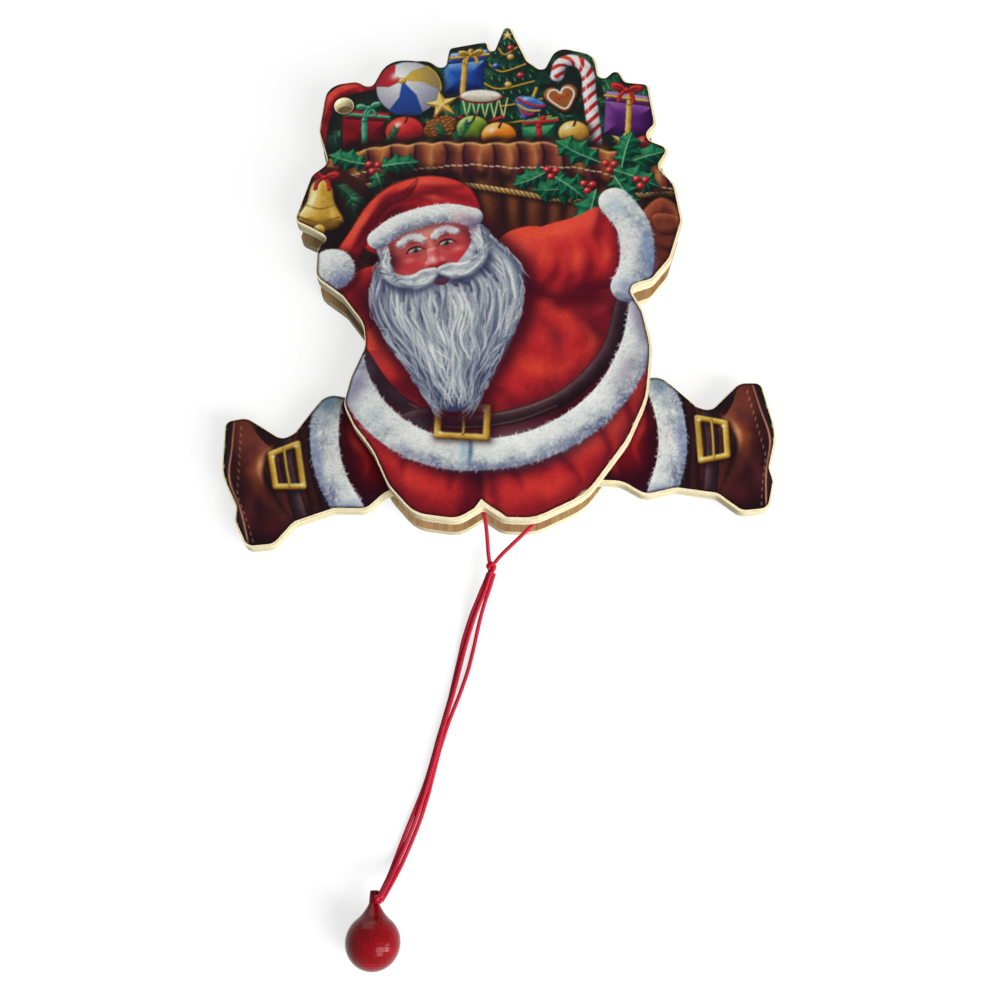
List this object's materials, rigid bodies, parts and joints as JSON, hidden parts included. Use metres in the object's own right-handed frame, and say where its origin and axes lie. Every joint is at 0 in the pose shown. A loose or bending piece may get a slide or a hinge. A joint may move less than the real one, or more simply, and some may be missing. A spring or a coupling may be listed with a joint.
{
  "type": "pull string jumping jack",
  "caption": "Flat wooden toy figure with two legs that swing between its front and back panels when the ball on its cord is pulled.",
  "frame": {"origin": "on the flat back face, midway between the two hip pins", "axes": "+Z out of the printed front, +Y towards the head, +X to the right for someone who looks at the front; the toy lies on its back"},
  "size_m": [0.1946, 0.3491, 0.017],
  "materials": {
    "panel_wood": "raw plywood with pale cut edges",
    "back_wood": "raw plywood, tan",
    "panel_print": "printed paper under satin varnish",
    "spacer_wood": "raw softwood",
    "leg_wood": "raw plywood with pale cut edges",
    "leg_print": "printed paper under satin varnish",
    "pin_wood": "birch dowel",
    "washer": "natural nylon",
    "cord": "braided nylon",
    "ball_paint": "turned wood under glossy crimson paint"
  },
  "bodies": {
    "housing": {"front_panel": "panel_wood", "front_print": "panel_print", "back_panel": "back_wood", "crown_spacer": "spacer_wood", "left_spacer": "spacer_wood", "right_spacer": "spacer_wood", "body_spacer": "spacer_wood", "left_pivot_pin": "pin_wood", "right_pivot_pin": "pin_wood", "left_leg_washers": "washer", "right_leg_washers": "washer"},
    "left_leg": {"left_leg": "leg_wood", "left_leg_print": "leg_print", "left_lever_knot": "cord"},
    "right_leg": {"right_leg": "leg_wood", "right_leg_print": "leg_print", "right_lever_knot": "cord"},
    "pull": {"left_pull_cord": "cord", "right_pull_cord": "cord", "cord_knot": "cord", "outer_ball_strand": "cord", "inner_ball_strand": "cord", "loose_ball_strand": "cord", "ball_knot": "cord", "pull_ball": "ball_paint"}
  },
  "joints": [
    {"name": "left_hip", "type": "hinge", "parent": "housing", "child": "left_leg", "pos_m": [-0.0233, 0, 0.0076], "axis": [0, 0, 1], "range_deg": [-36, 65]},
    {"name": "right_hip", "type": "hinge", "parent": "housing", "child": "right_leg", "pos_m": [0.0233, 0, 0.0076], "axis": [0, 0, 1], "range_deg": [-65, 36]},
    {"name": "pull_slide", "type": "slide", "parent": "housing", "child": "pull", "axis": [0, -1, 0], "range_m": [-0.0125, 0.00695], "deforming": ["left_pull_cord", "right_pull_cord"]}
  ],
  "couplings": [
    {"joint": "right_hip", "follows": "left_hip", "ratio": -1},
    {"joint": "pull_slide", "follows": "left_hip", "m_per_rad": -0.011}
  ]
}
